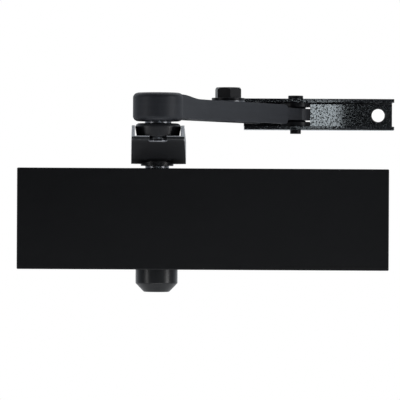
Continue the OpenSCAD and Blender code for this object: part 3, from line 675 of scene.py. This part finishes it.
def rounded_copy(node, name, width, segments=3, angle=30):
    """A merged copy of a node with rounded edges."""
    piece = nodes[node].copy()
    piece.data = nodes[node].data.copy()
    piece.name = name
    piece.hide_render = False
    piece.parent = None
    for key in [k for k in piece.keys() if k.startswith("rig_")]:
        del piece[key]
    scene.collection.objects.link(piece)
    select_only(piece)
    bpy.ops.object.mode_set(mode="EDIT")
    bpy.ops.mesh.select_all(action="SELECT")
    bpy.ops.mesh.remove_doubles(threshold=MERGE)
    bpy.ops.mesh.dissolve_limited(angle_limit=math.radians(1))
    bpy.ops.object.mode_set(mode="OBJECT")
    if width:
        soften(piece, width, segments, angle)
    smooth(piece, CURVE_ANGLE)
    return piece


# %% [markdown]
# ### Cover
#
# The cover is pressed from one sheet: a front, four sides and an open back. A box loses its back face and
# gets a wall with Solidify. Its outer edges are bevelled first, so the bend keeps an even thickness.

# %% Cover
WALL = 1.8 * MM
COVER_BEND = 0.7 * MM
BEND_SEGMENTS = 4
cover = block("cover_shell", cover_low, cover_high)
edit(cover, lambda face: face.normal.y > 0.9)
bpy.ops.mesh.delete(type="ONLY_FACE")
close()
edit(cover, lambda side: not side.is_boundary, "EDGE")
bpy.ops.mesh.bevel(offset=COVER_BEND, segments=BEND_SEGMENTS, affect="EDGES")
close()
modify(cover, "SOLIDIFY", thickness=WALL, offset=-1)
smooth(cover)
print("cover faces:", len(cover.data.polygons))

# %% Slots and screw holes of the cover
REACH = 5 * MM            # how far a cutting tool passes the face it cuts
NECK_SLOT = 9 * MM        # half the width of the upper slot
CAP_GAP = 0.3 * MM        # between the cap and the lower slot
SCREW_HOLE = 3.4 * MM     # radius of the holes in the cover's ends
cap_low, cap_high = box("pinion_cap")
cap_radius = (cap_high.x - cap_low.x) / 2
PINION = Vector(((cap_low.x + cap_high.x) / 2, (cap_low.y + cap_high.y) / 2, 0))
for radius, level in ((NECK_SLOT, cover_high.z), (cap_radius + CAP_GAP, cover_low.z)):
    cut_out(cover,
            rod("slot_end", radius, PINION + Vector((0, 0, level - REACH)),
                PINION + Vector((0, 0, level + REACH))),
            block("slot", (PINION.x - radius, PINION.y, level - REACH),
                  (PINION.x + radius, REACH, level + REACH)))
screw_low, screw_high = box("cover_screws")
SCREW_Y = (screw_low.y + screw_high.y) / 2
for end in (cover_low.x, cover_high.x):
    cut_out(cover, rod("screw_hole", SCREW_HOLE, (end - REACH, SCREW_Y, 0), (end + REACH, SCREW_Y, 0),
                       sides=32))
smooth(cover)
fit(cover, "cover_black", "cover")

# %% [markdown]
# ### Pinion cap
#
# A black cap covers the lower end of the pinion. It is turned: a flat end, a long chamfer and a straight wall,
# and it is hollow. The outline goes up on the outside and comes down again on the inside.
# Its rims get small roundings, because they are the edges that catch the light.

# %% Pinion cap
CAP_END = 8.1 * MM        # radius of the flat end
CHAMFER = 5.6 * MM        # height of the chamfer
CAP_WALL = 2.2 * MM
CAP_BORE = 9 * MM         # radius of the bore around the pinion's square end
CAP_FLOOR = 2.5 * MM      # thickness of the flat end
CAP_EDGE = 0.45 * MM      # rounding of the rims
cap_ledge = cap_low.z + CHAMFER + CAP_WALL
cap = turned("cap", PINION, [
    (CAP_END, cap_low.z), (cap_radius, cap_low.z + CHAMFER), (cap_radius, cap_high.z),
    (cap_radius - CAP_WALL, cap_high.z), (cap_radius - CAP_WALL, cap_ledge),
    (CAP_BORE, cap_ledge), (CAP_BORE, cap_low.z + CAP_FLOOR)])
soften(cap, CAP_EDGE)
smooth(cap)
fit(cap, "cap_black", "pinion_cap")

# %% [markdown]
# ### Main arm
#
# The arm is pressed from one sheet into a channel that narrows and rises towards the elbow. A sheet bent with
# Solidify would also do, but the frame's own shape has the exact slope and the square hole, so it is copied and
# its edges are rounded. At the open end the walls' cut faces get a light bare-steel colour: partly bare steel,
# and partly a painted highlight that stands for the bright line along the arm's end.

# %% Main arm
ARM_EDGE = 0.4 * MM
arm = rounded_copy("main_arm", "channel_arm", ARM_EDGE, 2)
fit(arm, "arm_black", "main_arm")

# %% Cut end of the main arm
arm_end = box("main_arm")[0].y
web_top = box("elbow_boss")[0].z
BARE_HIGHLIGHT_LEVEL = web_top - 0.5 * MM     # the coat covers the end up to here; above it the light bare-steel colour is partly a painted highlight
NEAR_END = 1.2 * MM
FACES_END = -0.6          # a face of the cut end has a normal that points further along -Y than this


def at_cut(centre, normal):
    """Tells whether a face lies on the cut end."""
    return centre.y < arm_end + NEAR_END and normal.y < FACES_END


edit(arm, lambda face: at_cut(face.calc_center_median(), face.normal))
bpy.ops.mesh.bisect(plane_co=(0, 0, BARE_HIGHLIGHT_LEVEL), plane_no=(0, 0, 1))
close()
# the cut end's walls get the light bare-steel colour, which partly paints the highlight along the end
arm.data.materials.append(materials["cut_steel"])
for face in arm.data.polygons:
    if at_cut(face.center, face.normal) and face.center.z > BARE_HIGHLIGHT_LEVEL:
        face.material_index = 1
print("bare faces:", sum(face.material_index for face in arm.data.polygons))

# %% [markdown]
# ### Forearm and its rod
#
# The forearm is a casting: a barrel hub that runs into a bar. The rod slides in a channel under the bar.
# Both are copied from the frame, and get the wide roundings that a mould gives.

# %% Forearm
FOREARM_EDGE = 0.7 * MM
ROD_EDGE = 0.8 * MM
bar = rounded_copy("forearm", "cast_forearm", FOREARM_EDGE)
fit(bar, "forearm_grey", "forearm")
tongue = rounded_copy("forearm_rod", "sliding_rod", ROD_EDGE)
fit(tongue, "forearm_grey", "forearm_rod")

# %% [markdown]
# ### Elbow boss
#
# The boss under the forearm is turned: its side leans out a little, and its upper rim is well rounded.
# The rim is drawn as a quarter circle in short steps, so that it needs no bevel.

# %% Elbow boss
boss_low, boss_high = box("elbow_boss")
BOSS_RIM = 2.4 * MM       # rounding of the upper rim
BOSS_TAPER = 0.9 * MM     # the foot is smaller by this
BOSS_BORE = 5 * MM        # radius of the hole for the rivet
RIM_STEPS = 8
boss_radius = (boss_high.x - boss_low.x) / 2
elbow = middle("elbow_boss")
outline = [(boss_radius - BOSS_TAPER, boss_low.z)]
for step in range(RIM_STEPS + 1):
    turn = math.radians(90 * step / RIM_STEPS)
    outline.append((boss_radius - BOSS_RIM * (1 - math.cos(turn)),
                    boss_high.z - BOSS_RIM * (1 - math.sin(turn))))
boss = turned("boss", elbow, outline)
cut_out(boss, rod("pin_hole", BOSS_BORE, (elbow.x, elbow.y, boss_low.z - REACH),
                  (elbow.x, elbow.y, boss_high.z + REACH)))
smooth(boss)
fit(boss, slot_of["elbow_boss"], "elbow_boss")

# %% [markdown]
# ### Washers, pins and screws
#
# Small parts keep the frame's shape. Each gets its own rounding, in millimetres, that suits its size.

# %% Washers, pins and screws
ROUNDINGS = {
    "elbow_washer": ("thrust_washer", 0.12), "elbow_pin": ("rivet", 0.2), "spindle_collar": ("collar", 0.15),
    "arm_washer": ("root_washer", 0.2), "arm_screw": ("root_screw", 0.25), "clamp_bolt": ("hex_bolt", 0.3),
    "clamp_washer": ("flat_washer", 0.15), "clamp_spring_washer": ("split_washer", 0.25),
    "cover_screws": ("end_screws", 0.2), "shoe_pin": ("pivot_pin", 0.3), "shoe_spacers": ("spacers", 0.35),
}
for node, (name, width) in ROUNDINGS.items():
    fit(rounded_copy(node, name, width * MM, 2), slot_of[node], node)

# %% [markdown]
# ### Closing spring
#
# In the closer the spring gets shorter as the arm turns: its left end is pushed by the piston and its right end
# leans on the seat. Here it is a smoothed copy of the frame's coil that keeps its shape; its length at rest and
# at full stroke is printed.
# The seat's travel does not shorten it: when the seat is screwed in, the whole coil moves with it and cuts into
# the piston.

# %% Closing spring
OCTAGON = 50              # the wire has eight sides, so edges of 45 degrees are smoothed
coil = rounded_copy("spring", "coil", 0)
smooth(coil, OCTAGON)
fit(coil, slot_of["spring"], "spring")
spring_low, spring_high = box("spring")
stroke = joints["piston_stroke"]["range_m"][1]
1 - stroke / (spring_high.x - spring_low.x)
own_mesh(coil)
print("spring in mm at rest and at full stroke:", round((spring_high.x - spring_low.x) / MM, 1),
      round((spring_high.x - spring_low.x - stroke) / MM, 1))

# %% [markdown]
# ### Frame shoe
#
# The shoe is a channel bent from sheet. A box loses its front and its two ends and gets its wall with
# Solidify. The wall is thicker than the bend's radius, so the bends are bevelled afterwards, wide outside and
# narrow inside.

# %% Shoe
shoe_low, shoe_high = box("shoe")
SHEET = 2.3 * MM
OUTER_BEND = 1.6 * MM     # radius of the two bends
INNER_BEND = 0.6 * MM
NEAR = 0.1 * MM           # how far an edge may lie off its plane or its level
shoe = block("channel_shoe", shoe_low, shoe_high)
edit(shoe, lambda face: face.normal.y < -0.9 or abs(face.normal.x) > 0.9)
bpy.ops.mesh.delete(type="ONLY_FACE")
close()
modify(shoe, "SOLIDIFY", thickness=SHEET, offset=-1, use_even_offset=True)
for depth, radius in ((shoe_high.y, OUTER_BEND), (shoe_high.y - SHEET, INNER_BEND)):
    edit(shoe, lambda side: side.calc_length() > SHEET
         and all(abs(v.co.y - depth) < NEAR for v in side.verts)
         and abs(side.verts[0].co.z - side.verts[1].co.z) < NEAR, "EDGE")
    bpy.ops.mesh.bevel(offset=radius, segments=BEND_SEGMENTS, affect="EDGES")
    close()
print("shoe faces:", len(shoe.data.polygons))

# %% Shoe openings
pin_low, pin_high = box("shoe_pin")
PIN = Vector(((pin_low.x + pin_high.x) / 2, (pin_low.y + pin_high.y) / 2,
              (shoe_low.z + shoe_high.z) / 2))
PIN_HOLE = 3.5 * MM       # radius
WINDOW_LEFT = 7 * MM      # how far the window reaches to either side of the pin
WINDOW_RIGHT = 9.8 * MM
HOLE = 4.25 * MM          # radius of a screw hole
HOLE_IN = 9 * MM          # from the shoe's end
SINK = 6.2 * MM           # radius of the countersink
SINK_DEPTH = 1.2 * MM
SHOE_EDGE = 0.3 * MM      # rounding of the cut edges
cut_out(shoe,
        block("window", (PIN.x - WINDOW_LEFT, -SHEET - REACH, shoe_low.z + SHEET + INNER_BEND),
              (PIN.x + WINDOW_RIGHT, REACH, shoe_high.z - SHEET - INNER_BEND)),
        rod("pin_hole", PIN_HOLE, (PIN.x, PIN.y, shoe_low.z - REACH), (PIN.x, PIN.y, shoe_high.z + REACH)))
for x in (shoe_low.x + HOLE_IN, shoe_high.x - HOLE_IN):
    cut_out(shoe, rod("screw_hole", HOLE, (x, -SHEET - REACH, PIN.z), (x, REACH, PIN.z)))
    # the cone has its rim on the face and its tip inside the hole
    tip = SINK_DEPTH * SINK / (SINK - HOLE)
    deselect()
    bpy.ops.mesh.primitive_cone_add(vertices=64, radius1=SINK, radius2=0, depth=tip,
                                    rotation=(math.radians(-90), 0, 0), location=(x, tip / 2 - SHEET, PIN.z))
    cut_out(shoe, started("sink"))
soften(shoe, SHOE_EDGE, 2, 40)
smooth(shoe)
fit(shoe, "shoe_black", "shoe")

# %% [markdown]
# ## Floor finish
#
# The floor is matt and nearly white, so it only takes a soft shadow.

# %% Floor finish
floor_finish = Finish("floor_white", roughness=0.9)
floor_finish.set("Base Color", (0.93, 0.93, 0.93))
floor.data.materials.append(floor_finish.material)
